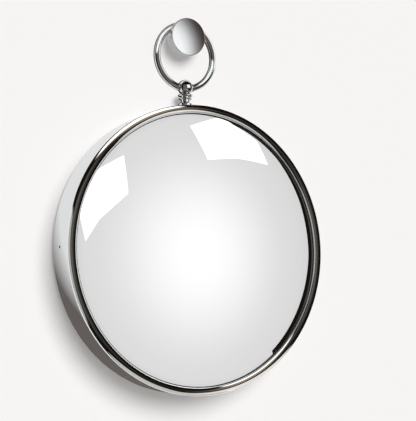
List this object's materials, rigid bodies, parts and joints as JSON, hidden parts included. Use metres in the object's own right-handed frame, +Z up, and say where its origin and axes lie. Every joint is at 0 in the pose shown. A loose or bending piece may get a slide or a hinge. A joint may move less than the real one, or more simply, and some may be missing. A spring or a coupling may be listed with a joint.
{
  "type": "convex mirror",
  "caption": "Round convex wall mirror in a deep polished drum case with a rolled bezel, hung from a round wall knob by a hinged ring on a turned pendant.",
  "frame": {"origin": "mouth of the knob's fixing hole, at the centre of its foot on the wall", "axes": "+X to the right, +Y into the wall, +Z up; the mirror faces -Y and hangs below the origin"},
  "size_m": [0.305, 0.0661, 0.4035],
  "materials": {
    "polished_nickel": "nickel-plated brass, mirror polished",
    "blackened_screw": "blackened steel screws",
    "mirror_silver": "slumped glass silvered on its back",
    "black_rubber": "matt",
    "grey_felt": "pressed felt",
    "core_board": "sanded fibreboard",
    "cover_board": "black-lacquered hardboard",
    "zinc_steel": "zinc plated"
  },
  "bodies": {
    "wall_knob": {"knob_stem": "polished_nickel", "knob_head": "polished_nickel"},
    "ring": {"hanging_ring": "polished_nickel"},
    "mirror": {"case_band": "polished_nickel", "bezel": "polished_nickel", "mirror_glass": "mirror_silver", "bezel_gasket": "black_rubber", "glass_cushion": "grey_felt", "core_ring": "core_board", "back_cover": "cover_board", "band_screws": "blackened_screw", "cover_screws": "zinc_steel", "wall_bumpers": "black_rubber", "pendant_foot": "polished_nickel", "pendant_neck": "polished_nickel", "pendant_ball": "polished_nickel", "pendant_stud": "zinc_steel", "pendant_washer": "zinc_steel", "pendant_nut": "zinc_steel"}
  },
  "joints": [
    {"name": "ring_swing", "type": "hinge", "parent": "wall_knob", "child": "ring", "pos_m": [0, -0.0119, 0], "axis": [0, 1, 0], "range_deg": [-30, 30]},
    {"name": "mirror_tilt", "type": "hinge", "parent": "ring", "child": "mirror", "pos_m": [0, -0.0119, -0.05419], "axis": [-1, 0, 0], "range_deg": [0, 75]}
  ]
}
